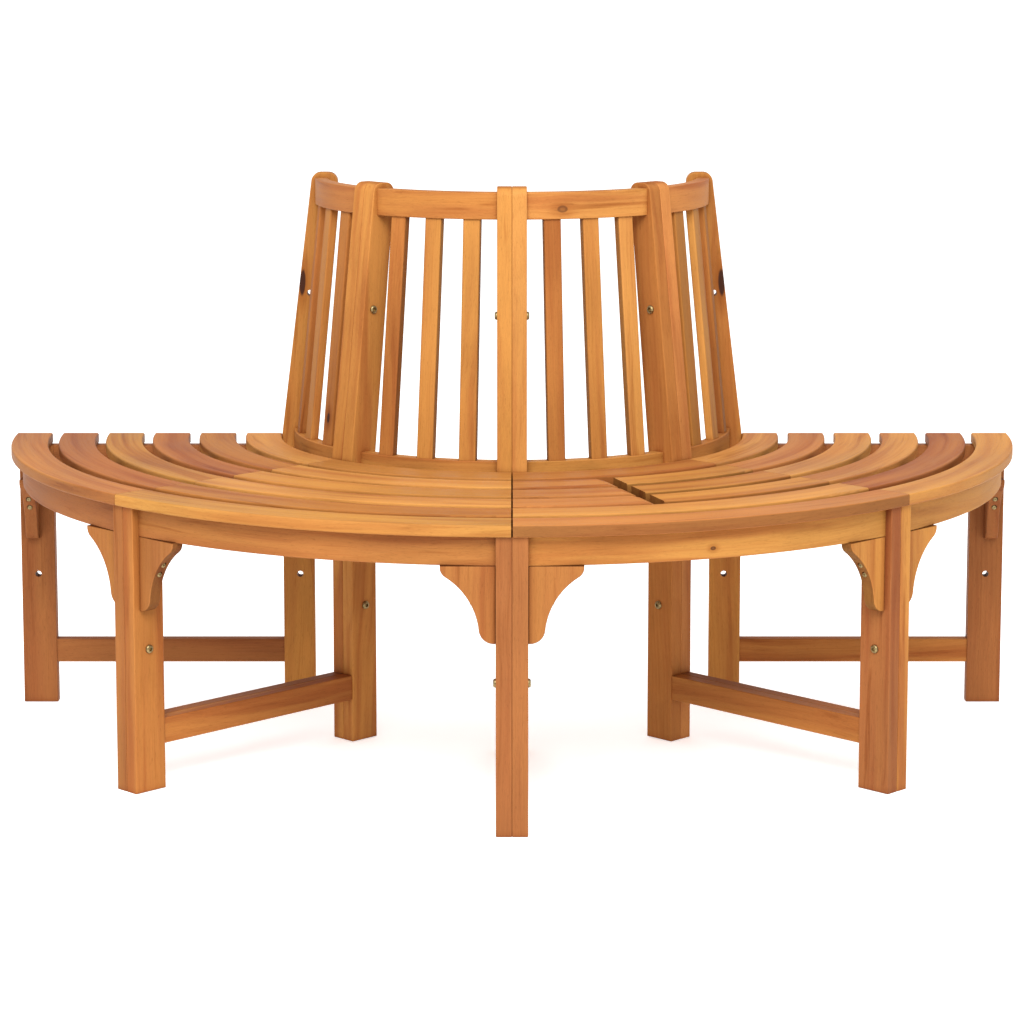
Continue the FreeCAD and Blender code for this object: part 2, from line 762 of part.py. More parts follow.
frame_thickness = value("sizes.frame_thickness")
frame_rail_thickness = value("sizes.frame_rail_thickness")
battens = []
screw_pairs = []
for index, section in enumerate(SECTIONS):
    place = section_place(index)
    for side in SIDES:
        frame = frame_place(index, side, frame_thickness)
        rail_frame = frame_place(index, side, frame_rail_thickness)
        add_node(f"{section}_{side}_front_leg", [front_legs[side]], frame)
        add_node(f"{section}_{side}_back_post", [back_post], frame)
        add_node(f"{section}_{side}_seat_bearer", [seat_bearer], rail_frame)
        add_node(f"{section}_{side}_stretcher", [stretcher], rail_frame)
        for number, screw in enumerate(screws):
            screw_pairs.append((screw, place * bracket_place(side) * screw_place(number)))
    brackets = place_copies(f"{section}_bracket", [(bracket, bracket_place(side)) for side in SIDES])
    add_node(f"{section}_brackets", brackets, place)
    add_node(f"{section}_apron", [apron], place)
    add_node(f"{section}_top_rail", [top_rail], place)
    add_node(f"{section}_bottom_rail", [bottom_rail], place)
    add_node(f"{section}_back_slats", slats, place)
    boards = []
    for number in board_numbers:
        if section == SLOTTED_SECTION and number in slot_numbers:
            boards += make_slotted_board(section, number)
        else:
            boards.append(make_whole_board(section, number))
    add_node(f"{section}_seat_boards", boards, place)
    batten = slot_batten if section == SLOTTED_SECTION else middle_batten
    battens += place_copies(f"{section}_batten", [(batten, place)])

add_node("seat_battens", battens, Placement())
joints = [seam_place(index) for index in range(1, len(SECTIONS))]
bolt_pairs = [(bolt, joint * hole) for joint in joints for hole in joint_places(-1)]
nut_pairs = [(sleeve_nut, joint * hole) for joint in joints for hole in joint_places(1)]
add_node("frame_bolts", place_copies("frame_bolt", bolt_pairs), Placement())
add_node("sleeve_nuts", place_copies("placed_sleeve_nut", nut_pairs), Placement())
add_node("bracket_screws", place_copies("placed_bracket_screw", screw_pairs), Placement())

doc.recompute()

for item in doc.Objects:
    if "Invalid" in item.State or "Error" in item.State:
        raise RuntimeError(f"{item.Label} did not build")
for node in nodes:
    if node.Shape.isNull() or not node.Shape.isValid():
        raise RuntimeError(f"{node.Label} has no valid shape")

os.makedirs("parts", exist_ok=True)
for node in nodes:
    node.Shape.exportStep(f"parts/{node.Label}.step")
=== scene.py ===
import math

import bpy
from mathutils import Euler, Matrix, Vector


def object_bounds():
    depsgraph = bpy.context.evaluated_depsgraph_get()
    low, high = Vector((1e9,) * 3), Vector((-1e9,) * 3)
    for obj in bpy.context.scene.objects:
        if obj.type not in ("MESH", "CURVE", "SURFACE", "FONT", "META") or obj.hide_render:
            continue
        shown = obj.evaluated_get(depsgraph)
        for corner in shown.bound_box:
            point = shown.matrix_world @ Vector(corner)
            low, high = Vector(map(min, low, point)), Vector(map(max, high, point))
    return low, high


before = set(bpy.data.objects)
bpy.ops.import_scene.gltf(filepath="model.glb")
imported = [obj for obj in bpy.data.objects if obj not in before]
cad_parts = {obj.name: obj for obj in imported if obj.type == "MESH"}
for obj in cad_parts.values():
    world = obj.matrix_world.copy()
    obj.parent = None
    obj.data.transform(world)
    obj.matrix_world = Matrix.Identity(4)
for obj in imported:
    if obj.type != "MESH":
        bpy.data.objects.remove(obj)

# Half-round tree bench of oiled hardwood with brass fasteners. Metres, Z up, the open side at +Y.

cad_low, cad_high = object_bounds()
bpy.ops.object.select_all(action="DESELECT")

SECTIONS = ("left_wing", "left_front", "right_front", "right_wing")
SIDES = ("left", "right")
FRONT_TURN = math.radians(270)
SECTION_ANGLE = math.radians(45)
RIM_RADIUS = (cad_high.x - cad_low.x) / 2
TREE_AXIS = Vector((0, cad_high.y, 0))
BOARD_WIDTH = 0.058
BOARD_GAP = 0.0162
BOARD_PITCH = BOARD_WIDTH + BOARD_GAP
BOARDS_PER_SECTION = 6
SLATS_PER_SECTION = 3
SLAT_LEAN = math.radians(5.8)
POST_LEAN = math.radians(3.5)
FRAME_THICKNESS = 0.0225
SLOTTED_SECTION = "right_front"

# The slot's angle round the tree from the middle of its section, and the middle of its three boards
SLOT_ANGLE = math.radians(18.8) - SECTION_ANGLE / 2
MIDDLE_SLOTTED_BOARD = 3


# Which timber each piece is cut from

# The mean colour of each sort of board, from the palest to the darkest
TIMBERS = {
    "honey": (0.434, 0.187, 0.048),
    "straw": (0.376, 0.166, 0.040),
    "blush": (0.380, 0.145, 0.041),
    "golden": (0.378, 0.155, 0.037),
    "amber": (0.325, 0.121, 0.030),
    "rosy": (0.305, 0.103, 0.030),
    "chestnut": (0.277, 0.102, 0.028),
    "russet": (0.244, 0.085, 0.027),
    # Darker than the other timbers so that the battens seen in the slot stand in for its shade:
    # painted shade
    "umber": (0.150, 0.048, 0.013),
}

# Boards from the rim inwards. The last three of the slotted section are the lengths right of its
# slot.
SEAT_TIMBERS = {
    "left_wing": ("blush", "rosy", "straw", "rosy", "amber", "honey"),
    "left_front": ("straw", "amber", "honey", "golden", "honey", "golden"),
    "right_front": (
        "blush", "honey", "blush", "blush", "blush", "amber", "golden", "golden", "golden",
    ),
    "right_wing": ("honey", "rosy", "honey", "honey", "blush", "honey"),
}
SLAT_TIMBERS = {
    "left_wing": ("amber", "golden", "amber"),
    "left_front": ("amber", "golden", "golden"),
    "right_front": ("amber", "golden", "honey"),
    "right_wing": ("golden", "honey", "amber"),
}
BRACKET_TIMBERS = {
    "left_wing": ("russet", "amber"),
    "left_front": ("chestnut", "chestnut"),
    "right_front": ("chestnut", "golden"),
    "right_wing": ("golden", "russet"),
}

# Single pieces of a section, which follow its curve
RAILS = ("apron", "top_rail", "bottom_rail")
RAIL_TIMBERS = {
    "left_wing": ("russet", "blush", "amber"),
    "left_front": ("chestnut", "amber", "golden"),
    "right_front": ("straw", "honey", "golden"),
    "right_wing": ("straw", "blush", "amber"),
}

# Frame pieces of a section's left and right end: front leg, post, bearer and stretcher
FRAME_TIMBERS = {
    "left_wing": (
        ("russet", "golden", "russet", "russet"),
        ("chestnut", "golden", "russet", "russet"),
    ),
    "left_front": (
        ("amber", "golden", "russet", "amber"),
        ("russet", "golden", "russet", "russet"),
    ),
    "right_front": (
        ("russet", "honey", "russet", "russet"),
        ("russet", "amber", "russet", "amber"),
    ),
    "right_wing": (
        ("golden", "blush", "russet", "russet"),
        ("russet", "golden", "russet", "amber"),
    ),
}

# How light a board's edges are beside its faces: partly their own tone, partly painted shade
RIM_EDGE_TONES_AND_SHADES = {"left_wing": 0.72, "left_front": 1.0, "right_front": 0.54, "right_wing": 0.84}
# Painted shade on the board sides seen down the gaps between boards
GAP_EDGE_PAINTED_SHADE = 0.85
# Painted shade on the board sides inside the slot
SLOT_EDGE_PAINTED_SHADE = 0.58
# Painted shade on the slats' sides, which turn away from the light
SLAT_EDGE_PAINTED_SHADES = {"left_wing": 1.0, "left_front": 0.58, "right_front": 0.58, "right_wing": 0.76}
# Painted shade on the brackets' curved edges, partly the darker tone of their cross grain
BRACKET_EDGE_TONES_AND_SHADES = {
    "left_wing": (1.0, 0.6),
    "left_front": (0.6, 0.6),
    "right_front": (0.5, 0.5),
    "right_wing": (0.5, 1.0),
}

# Here the tone is that of the slats' broad faces, and their sides are the paler ones: the painted
# shade falls on the broad faces
SLATS_SHADED_ON_BROAD_FACES = ("right_wing",)

# Numbers that pick a piece's part of the log
SECTION_SEED_STEP = 20.0
SIDE_SEED_STEP = 0.5
FRAME_SEEDS = (1.1, 2.3, 3.7, 4.9)
RAIL_SEEDS = (6.1, 7.2, 8.3)
SEAT_SEED = 9.4
SLAT_SEED = 15.6
BRACKET_SEED = 17.8
BATTEN_SEED = 3.3


# Shader nodes

# A colour mix keeps its colours in sockets of their own
MIX_FACTOR, MIX_FIRST, MIX_SECOND, MIX_RESULT = 0, 6, 7, 2


def add(tree, kind, inputs=None, **settings):
    """A shader node with its settings, and its inputs as values or as sockets to link."""
    node = tree.nodes.new("ShaderNode" + kind)
    for name, setting in settings.items():
        setattr(node, name, setting)
    for name, source in (inputs or {}).items():
        if isinstance(source, bpy.types.NodeSocket):
            tree.links.new(source, node.inputs[name])
        else:
            node.inputs[name].default_value = source
    return node


def calc(tree, operation, *values):
    return add(tree, "Math", dict(enumerate(values)), operation=operation).outputs[0]


def product(tree, first, second):
    return calc(tree, "MULTIPLY", first, second)


def vector_calc(tree, operation, *values):
    node = add(tree, "VectorMath", dict(enumerate(values)), operation=operation)
    return node.outputs["Value" if operation in ("LENGTH", "DOT_PRODUCT") else "Vector"]


def combine(tree, x, y, z):
    return add(tree, "CombineXYZ", {0: x, 1: y, 2: z}).outputs[0]


def fade(tree, value, low, high, to_low=0.0, to_high=1.0):
    """value from low to high, eased, as to_low to to_high."""
    node = add(tree, "MapRange", {
        "Value": value, "From Min": low, "From Max": high, "To Min": to_low, "To Max": to_high,
    }, interpolation_type="SMOOTHSTEP")
    return node.outputs["Result"]


def lerp(tree, share, first, second):
    return calc(tree, "MULTIPLY_ADD", calc(tree, "SUBTRACT", second, first), share, first)


def hypotenuse(tree, first, second):
    second_squared = product(tree, second, second)
    return calc(tree, "SQRT", calc(tree, "MULTIPLY_ADD", first, first, second_squared))


def noise(tree, place, stretch, detail=2.0, roughness=0.5):
    """Noise from 0 to 1 that changes stretch times in a metre along each axis."""
    node = add(tree, "TexNoise", {
        "Vector": vector_calc(tree, "MULTIPLY", place, stretch),
        "Scale": 1.0, "Detail": detail, "Roughness": roughness,
    })
    return node.outputs["Fac"]


def mix(tree, factor, first, second, blend="MIX"):
    return add(
        tree, "Mix", {MIX_FACTOR: factor, MIX_FIRST: first, MIX_SECOND: second},
        data_type="RGBA", blend_type=blend,
    ).outputs[MIX_RESULT]


def tinted(tree, factor, colour, tint):
    """The colour multiplied by a tint, as far as the factor goes."""
    return mix(tree, factor, colour, (*tint, 1.0), blend="MULTIPLY")


def shaded(tree, colour, shade):
    """The colour multiplied by one number."""
    return mix(tree, 1.0, colour, combine(tree, shade, shade, shade), blend="MULTIPLY")


def colour_ramp(tree, factor, stops, interpolation="LINEAR"):
    """Colours, and alphas where a stop has one, along a factor."""
    node = add(tree, "ValToRGB", {"Fac": factor})
    ramp = node.color_ramp
    ramp.interpolation = interpolation
    while len(ramp.elements) < len(stops):
        ramp.elements.new(1.0)
    for element, (position, colour) in zip(ramp.elements, stops):
        element.position = position
        element.color = (*colour, 1.0)[:4]
    return node.outputs


# Oiled hardwood

PALE_TINT = (1.10, 1.17, 1.12)
WARM_TINT = (0.79, 0.65, 0.66)
STREAK_TINT = (0.62, 0.46, 0.36)
END_GRAIN_TINT = (0.72, 0.60, 0.52)
# Painted shade: the tint for crevices, corners and gaps that an occlusion test finds closed in
CREVICE_SHADE_TINT = (0.60, 0.42, 0.32)
# Pale edges: partly rubbed by wear, partly a painted highlight
WORN_AND_HIGHLIGHT_TINT = (1.12, 1.18, 1.28)
KNOT_BROWN = (0.045, 0.016, 0.009, 1.0)

# Each kind of grain: how often it changes in a metre along and across, its detail and roughness
DRIFT = ((2.2, 5.0, 5.0), 2.0, 0.5)
RIPPLE = ((11.0, 18.0, 18.0), 1.0, 0.5)
GRAINS = {
    "band": ((1.6, 38.0, 38.0), 2.0, 0.55),
    "streak": ((3.2, 88.0, 88.0), 3.0, 0.6),
    "line": ((5.0, 320.0, 320.0), 2.0, 0.5),
    "fibre": ((14.0, 900.0, 900.0), 2.0, 0.6),
    "pore": ((110.0, 1700.0, 1700.0), 0.0, 0.5),
    "cloud": ((4.0, 9.0, 9.0), 2.0, 0.5),
}
DRIFT_WIDTH = 0.035
RIPPLE_WIDTH = 0.003

# How far apart two boards can lie in the log, on each axis
LOG_SIZE = (7.3, 5.1, 6.7)

# Where the pith lies on each axis of a board's place, from the least to the most
PITH_X = (-0.35, 0.35)
PITH_Y = (-0.05, 0.05)
PITH_Z = (0.05, 0.16)
RING_WIDTH = 0.0075
RING_SLANT = (0.09, 1.0, 1.0)
RING_STRENGTH = 0.16
LINE_STRENGTH = 0.26
END_GRAIN_STRENGTH = 0.75
# How strong the painted crevice shade is, and how far it reaches
CREVICE_SHADE_STRENGTH = 0.8
CREVICE_SHADE_REACH = 0.012
# How wide the pale edges are, worn and painted highlight
WORN_AND_HIGHLIT_EDGE_RADIUS = 0.0016
KNOT_SQUEEZE = 0.75
END_GRAIN_ROUGHNESS = 0.2
WORN_ROUGHNESS = -0.08
FIBRE_HEIGHT = 0.6
PORE_HEIGHT = -0.35
DARK_LINE_HEIGHT = -0.25

# How far the grain of a curved piece follows its curve, from 0, straight, to 1
GRAIN_BEND = 0.8

# Edge Tone darkens a board's edges: partly their own tone, partly painted shade
GROUP_INPUTS = (
    ("Place", "Vector"), ("Board", "Float"), ("Timber", "Color"), ("Along", "Vector"),
    ("Face", "Vector"), ("Edge Tone", "Float"), ("Knot", "Vector"), ("Knot Scale", "Vector"),
    ("Knot Darkness", "Float"),
)
GROUP_OUTPUTS = (("Colour", "Color"), ("Roughness", "Float"), ("Height", "Float"))


def part_round_knot(group, given):
    """The place with the grain pushed aside round the knot, and its depth in knots' half sizes."""
    to_knot = vector_calc(group, "SUBTRACT", given["Place"], given["Knot"])
    knot_depth = vector_calc(
        group, "LENGTH", vector_calc(group, "MULTIPLY", to_knot, given["Knot Scale"]),
    )
    swell = product(group, fade(group, knot_depth, 0.0, 5.0, 1.0, 0.0), given["Knot Darkness"])
    squeeze = calc(group, "SUBTRACT", 1.0, product(group, swell, KNOT_SQUEEZE))
    squeezed = vector_calc(group, "MULTIPLY", to_knot, combine(group, 1.0, squeeze, squeeze))
    return vector_calc(group, "ADD", squeezed, given["Knot"]), knot_depth


def wander(group, place, log_shift):
    """The place as the fibres stray a little to the sides on their way along the board."""
    log_place = vector_calc(group, "ADD", place, log_shift)
    drift = calc(group, "SUBTRACT", noise(group, log_place, *DRIFT), 0.5)
    ripple = calc(group, "SUBTRACT", noise(group, log_place, *RIPPLE), 0.5)
    aside = calc(group, "MULTIPLY_ADD", drift, DRIFT_WIDTH, product(group, ripple, RIPPLE_WIDTH))
    return vector_calc(group, "ADD", place, combine(group, 0.0, aside, aside))


def late_wood_rings(group, place, luck):
    """The dark late wood of rings about a pith beside the board, slanted into long arches."""
    pith = combine(
        group,
        fade(group, luck[2], 0.0, 1.0, *PITH_X),
        fade(group, luck[0], 0.0, 1.0, *PITH_Y),
        fade(group, luck[1], 0.0, 1.0, *PITH_Z),
    )
    from_pith = vector_calc(group, "SUBTRACT", place, pith)
    across = vector_calc(group, "MULTIPLY", from_pith, RING_SLANT)
    ring_count = calc(group, "DIVIDE", vector_calc(group, "LENGTH", across), RING_WIDTH)
    ring = calc(group, "FRACT", ring_count)
    return product(group, fade(group, ring, 0.25, 0.92), fade(group, ring, 0.92, 1.0, 1.0, 0.0))


def grained(group, timber, grain, late_wood, luck):
    """The timber's colour with its bands, rings, streaks, fibres and pores, and its dark lines."""
    pale_share = fade(group, luck[2], 0.0, 1.0, 0.4, 1.0)
    warm_share = fade(group, luck[0], 0.0, 1.0, 0.35, 1.0)
    pale = product(group, fade(group, grain["band"], 0.47, 0.66), pale_share)
    warm = product(group, fade(group, grain["band"], 0.52, 0.34), warm_share)
    colour = tinted(group, pale, timber, PALE_TINT)
    colour = tinted(group, warm, colour, WARM_TINT)
    ring_share = fade(group, luck[1], 0.3, 1.0, 0.0, RING_STRENGTH)
    colour = tinted(group, product(group, late_wood, ring_share), colour, STREAK_TINT)
    streak_share = fade(group, luck[2], 0.0, 1.0, 0.35, 0.75)
    streaks = product(group, fade(group, grain["streak"], 0.55, 0.74), streak_share)
    lines = product(group, fade(group, grain["line"], 0.56, 0.74), LINE_STRENGTH)
    dark_lines = calc(group, "MAXIMUM", streaks, lines)
    colour = tinted(group, dark_lines, colour, STREAK_TINT)
    fibre_shade = fade(group, grain["fibre"], 0.25, 0.75, 0.94, 1.06)
    cloud_shade = fade(group, grain["cloud"], 0.25, 0.75, 0.89, 1.11)
    pore_shade = fade(group, grain["pore"], 0.66, 0.76, 1.0, 0.82)
    shade = product(group, product(group, fibre_shade, cloud_shade), pore_shade)
    return shaded(group, colour, shade), dark_lines


def knotted(group, colour, knot_depth, darkness, streak):
    """The colour with the knot's dark rim, its heart and the darker grain round it."""
    ragged = product(group, calc(group, "SUBTRACT", streak, 0.5), 0.9)
    knot_edge = calc(group, "ADD", knot_depth, ragged)
    from_heart = fade(group, knot_edge, 0.35, 0.75, darkness, 1.0)
    to_outside = fade(group, knot_edge, 0.85, 1.2, 1.0, 0.0)
    brown = product(group, product(group, from_heart, to_outside), darkness)
    halo = product(group, fade(group, knot_edge, 0.8, 3.4, 0.8, 0.0), darkness)
    return mix(group, brown, tinted(group, halo, colour, STREAK_TINT), KNOT_BROWN)


def edge_shaded_and_end_grain(group, colour, normal, given):
    """The colour with edges in their own tone and in painted shade, and end grain that drank more
    oil, and its mask.
    """
    broadside = calc(group, "ABSOLUTE", vector_calc(group, "DOT_PRODUCT", normal, given["Face"]))
    # Painted shade: faces that are not the paler faces are darkened by Edge Tone, partly their own
    # tone
    on_edge = fade(group, broadside, 0.45, 0.97, 1.0, 0.0)
    edge_shade_change = calc(group, "SUBTRACT", given["Edge Tone"], 1.0)
    colour = shaded(group, colour, calc(group, "MULTIPLY_ADD", on_edge, edge_shade_change, 1.0))
    endways = calc(group, "ABSOLUTE", vector_calc(group, "DOT_PRODUCT", normal, given["Along"]))
    end_grain = fade(group, endways, 0.75, 0.93)
    end_share = product(group, end_grain, END_GRAIN_STRENGTH)
    return tinted(group, end_share, colour, END_GRAIN_TINT), end_grain


def crevice_shaded_and_edge_lit(group, colour, normal, streak):
    """The colour with painted shade in its crevices, and pale edges that are part wear and part
    painted highlight, and the edges' mask.
    """
    # Painted shade: darker wherever nearby geometry closes the surface in
    openness = add(group, "AmbientOcclusion", {"Distance": CREVICE_SHADE_REACH}, samples=4).outputs["AO"]
    crevice_shade = fade(group, openness, 0.9, 0.35, 0.0, CREVICE_SHADE_STRENGTH)
    colour = tinted(group, crevice_shade, colour, CREVICE_SHADE_TINT)
    # Rounded edges that face up and lie open are paler: part wear, part painted highlight
    rounded = add(group, "Bevel", {"Radius": WORN_AND_HIGHLIT_EDGE_RADIUS}, samples=2).outputs["Normal"]
    edge_turn = vector_calc(group, "DOT_PRODUCT", rounded, normal)
    patches = fade(group, streak, 0.3, 0.6, 0.3, 1.0)
    worn_and_highlit = product(group, fade(group, edge_turn, 0.995, 0.93), patches)
    upward = add(group, "SeparateXYZ", {0: normal}).outputs[2]
    worn_and_highlit = product(group, worn_and_highlit, fade(group, upward, -0.6, -0.1))
    return tinted(group, product(group, worn_and_highlit, openness), colour, WORN_AND_HIGHLIGHT_TINT), worn_and_highlit


def make_timber_group():
    """Hardwood grain for a place in metres whose X runs along the grain.

    Board is any number that tells one board from another, and picks the board's part of the log.
    Timber is the board's mean colour. Along is the grain's direction on the bench, which finds the
    end grain, and Face is the way the board's paler faces look, which finds its edges. Edge Tone
    darkens the edges, partly by their own tone and partly as painted shade. A knot has
    its middle, 1 over each half size, and a darkness, which is 0 where there is no knot.
    """
    group = bpy.data.node_groups.new("timber_grain", "ShaderNodeTree")
    for sockets, in_out in ((GROUP_INPUTS, "INPUT"), (GROUP_OUTPUTS, "OUTPUT")):
        for name, kind in sockets:
            group.interface.new_socket(name=name, in_out=in_out, socket_type="NodeSocket" + kind)
    given = group.nodes.new("NodeGroupInput").outputs
    result = group.nodes.new("NodeGroupOutput").inputs

    chance = add(group, "TexWhiteNoise", {"W": given["Board"]}, noise_dimensions="1D")
    log_shift = vector_calc(group, "MULTIPLY", chance.outputs["Color"], LOG_SIZE)
    luck = add(group, "SeparateColor", {"Color": chance.outputs["Color"]}).outputs
    place, knot_depth = part_round_knot(group, given)
    place = wander(group, place, log_shift)
    late_wood = late_wood_rings(group, place, luck)
    log_place = vector_calc(group, "ADD", place, log_shift)
    grain = {name: noise(group, log_place, *settings) for name, settings in GRAINS.items()}

    normal = add(group, "NewGeometry").outputs["Normal"]
    colour, dark_lines = grained(group, given["Timber"], grain, late_wood, luck)
    colour = knotted(group, colour, knot_depth, given["Knot Darkness"], grain["streak"])
    # Edges darkened partly by their own tone and partly as painted shade; end grain darker
    colour, end_grain = edge_shaded_and_end_grain(group, colour, normal, given)
    # Painted shade in crevices, and pale edges that are part wear and part painted highlight
    colour, worn_and_highlit = crevice_shaded_and_edge_lit(group, colour, normal, grain["streak"])

    roughness = fade(group, grain["cloud"], 0.2, 0.8, 0.46, 0.58)
    fibre_roughness = fade(group, grain["fibre"], 0.3, 0.7, -0.03, 0.05)
    roughness = calc(group, "ADD", roughness, fibre_roughness)
    roughness = calc(group, "MULTIPLY_ADD", end_grain, END_GRAIN_ROUGHNESS, roughness)
    roughness = calc(group, "MULTIPLY_ADD", worn_and_highlit, WORN_ROUGHNESS, roughness)
    height = product(group, grain["pore"], PORE_HEIGHT)
    height = calc(group, "MULTIPLY_ADD", grain["fibre"], FIBRE_HEIGHT, height)
    height = calc(group, "MULTIPLY_ADD", dark_lines, DARK_LINE_HEIGHT, height)
    group.links.new(colour, result["Colour"])
    group.links.new(roughness, result["Roughness"])
    group.links.new(height, result["Height"])
    return group


timber_group = make_timber_group()


# Places in a section

def grain_rotation(upright, turn, lean=0.0):
    """The turn from the bench's axes to a board's, whose X runs along its grain."""
    pitch = -math.radians(90) - lean if upright else 0.0
    return Euler((0.0, pitch, turn))


def place_from_tree(tree, place, rotation):
    """A place from the foot of the tree's axis, along the axes that rotation turns to."""
    return add(tree, "Mapping", {
        "Vector": place, "Location": TREE_AXIS, "Rotation": rotation,
    }, vector_type="TEXTURE").outputs["Vector"]


def section_coordinates(tree, place, turn):
    """A place's outwards and sideways parts, as seen along a section's middle."""
    parts = add(tree, "SeparateXYZ", {0: place_from_tree(tree, place, (0.0, 0.0, turn))}).outputs
    return parts[0], parts[1]


def bent_place(tree, place, turn):
    """A section's place as along, inwards and up, with most of its curve taken out."""
    outwards, sideways = section_coordinates(tree, place, turn)
    reach = hypotenuse(tree, outwards, sideways)
    arc = product(tree, calc(tree, "ARCTAN2", sideways, outwards), reach)
    height = add(tree, "SeparateXYZ", {0: place}).outputs[2]
    inwards = product(tree, lerp(tree, GRAIN_BEND, outwards, reach), -1.0)
    return combine(tree, lerp(tree, GRAIN_BEND, sideways, arc), inwards, height)


def bent_knot(knot, turn):
    """The same as bent_place, for one place."""
    turned = Euler((0.0, 0.0, -turn)).to_matrix() @ (knot - TREE_AXIS)
    reach = math.hypot(turned.x, turned.y)
    arc = math.atan2(turned.y, turned.x) * reach
    along = turned.y + GRAIN_BEND * (arc - turned.y)
    inwards = -(turned.x + GRAIN_BEND * (reach - turned.x))
    return Vector((along, inwards, turned.z))


def count_seat_boards(turn, slotted):
    """Counts a section's seat boards from the rim, and then the lengths right of the slot."""
    def count(tree, place):
        outwards, sideways = section_coordinates(tree, place, turn)
        reach = hypotenuse(tree, outwards, sideways)
        from_rim = calc(tree, "SUBTRACT", RIM_RADIUS + BOARD_GAP / 2, reach)
        board = calc(tree, "FLOOR", calc(tree, "DIVIDE", from_rim, BOARD_PITCH))
        if not slotted:
            return board
        angle = calc(tree, "ARCTAN2", sideways, outwards)
        past_slot = calc(tree, "GREATER_THAN", angle, SLOT_ANGLE)
        up_to_next_board = 1.1
        is_slotted = calc(tree, "COMPARE", board, float(MIDDLE_SLOTTED_BOARD), up_to_next_board)
        is_right_length = product(tree, past_slot, is_slotted)
        first_length_step = BOARDS_PER_SECTION - MIDDLE_SLOTTED_BOARD + 1.0
        return calc(tree, "MULTIPLY_ADD", is_right_length, first_length_step, board)
    return count


def count_slats(turn):
    """Counts a section's slats from the left."""
    def count(tree, place):
        outwards, sideways = section_coordinates(tree, place, turn)
        angle = calc(tree, "ARCTAN2", sideways, outwards)
        steps = calc(tree, "DIVIDE", angle, SECTION_ANGLE / (SLATS_PER_SECTION + 1))
        return calc(tree, "ADD", calc(tree, "ROUND", steps), (SLATS_PER_SECTION - 1) / 2)
    return count


def count_sides(turn):
    """Tells a section's left piece, 0, from its right one, 1."""
    def count(tree, place):
        return calc(tree, "GREATER_THAN", section_coordinates(tree, place, turn)[1], 0.0)
    return count


# Knots

def from_tree(radius, angle, height):
    """A place on the bench, by its angle round the tree from the front's middle to the right."""
    turn = FRONT_TURN + math.radians(angle)
    return TREE_AXIS + Vector((radius * math.cos(turn), radius * math.sin(turn), height))


def end_post_place(x, height):
    """A place on the front face of an end post."""
    return Vector((x, TREE_AXIS.y - FRAME_THICKNESS, height))


# Each node's knot: its place, half length along the grain, half thickness and how dark it is
KNOTS = {
    "right_front_top_rail": (from_tree(0.3145, 14.0, 0.8295), 0.0085, 0.0055, 0.60),
    "right_front_apron": (from_tree(0.783, 20.9, 0.395), 0.0040, 0.0026, 0.80),
    "left_wing_back_slats": (from_tree(0.344, -56.25, 0.494), 0.0090, 0.0042, 1.0),
    "left_wing_left_back_post": (end_post_place(-0.3350, 0.687), 0.0215, 0.0050, 1.0),
    "right_wing_right_back_post": (end_post_place(0.3350, 0.687), 0.0215, 0.0050, 1.0),
}


# Materials of the sub-parts

def board_colours(tree, index, names, edge_tones):
    """The timber colour and the edge tone, with its painted shade, of the board that index counts
    from 0.
    """
    stops = []
    for number, (name, tone) in enumerate(zip(names, edge_tones)):
        stops.append((number / len(names), (*TIMBERS[name], tone)))
    factor = calc(tree, "DIVIDE", calc(tree, "ADD", index, 0.5), float(len(names)))
    return colour_ramp(tree, factor, stops, interpolation="CONSTANT")


def oiled_hardwood(
    name, rotation, timbers, seed,
    count=None, face=(0, 0, 1), edge_tones=(1.0,), bend_turn=None, knot=None,
):
    """Oiled hardwood for one sub-part, with its grain along the X of rotation.

    timbers names the sort of each board, and count works out from the place which board it is.
    face is the way the boards' paler faces look, and edge_tones says how light each board's other
    long faces are beside them, by their own tone and by painted shade. bend_turn is the section's
    turn, where the grain follows its curve.
    knot is a value of KNOTS.
    """
    material = bpy.data.materials.new(name)
    material.use_nodes = True
    tree = material.node_tree
    shader = tree.nodes["Principled BSDF"]
    bench_place = add(tree, "TexCoord").outputs["Object"]
    timber = tree.nodes.new("ShaderNodeGroup")
    timber.node_tree = timber_group
    if bend_turn is None:
        grain_place = place_from_tree(tree, bench_place, rotation)
    else:
        grain_place = bent_place(tree, bench_place, bend_turn)
    tree.links.new(grain_place, timber.inputs["Place"])
    to_bench = rotation.to_matrix()
    timber.inputs["Along"].default_value = to_bench @ Vector((1, 0, 0))
    timber.inputs["Face"].default_value = face
    if count:
        index = count(tree, bench_place)
        colour, edge_tone = board_colours(tree, index, timbers, edge_tones)
        tree.links.new(colour, timber.inputs["Timber"])
        tree.links.new(edge_tone, timber.inputs["Edge Tone"])
        tree.links.new(calc(tree, "ADD", index, seed), timber.inputs["Board"])
    else:
        timber.inputs["Timber"].default_value = (*TIMBERS[timbers[0]], 1.0)
        timber.inputs["Edge Tone"].default_value = edge_tones[0]
        timber.inputs["Board"].default_value = seed
    if knot:
        middle, half_length, half_thickness, darkness = knot
        if bend_turn is None:
            knot_place = to_bench.inverted() @ (middle - TREE_AXIS)
        else:
            knot_place = bent_knot(middle, bend_turn)
        across = 1 / half_thickness
        timber.inputs["Knot"].default_value = knot_place
        timber.inputs["Knot Scale"].default_value = (1 / half_length, across, across)
        timber.inputs["Knot Darkness"].default_value = darkness
    tree.links.new(timber.outputs["Colour"], shader.inputs["Base Color"])
    tree.links.new(timber.outputs["Roughness"], shader.inputs["Roughness"])
    bump = add(tree, "Bump", {
        "Height": timber.outputs["Height"], "Strength": 0.25, "Distance": 0.0008,
    })
    tree.links.new(bump.outputs["Normal"], shader.inputs["Normal"])
    shader.inputs["Specular IOR Level"].default_value = 0.05
    return material


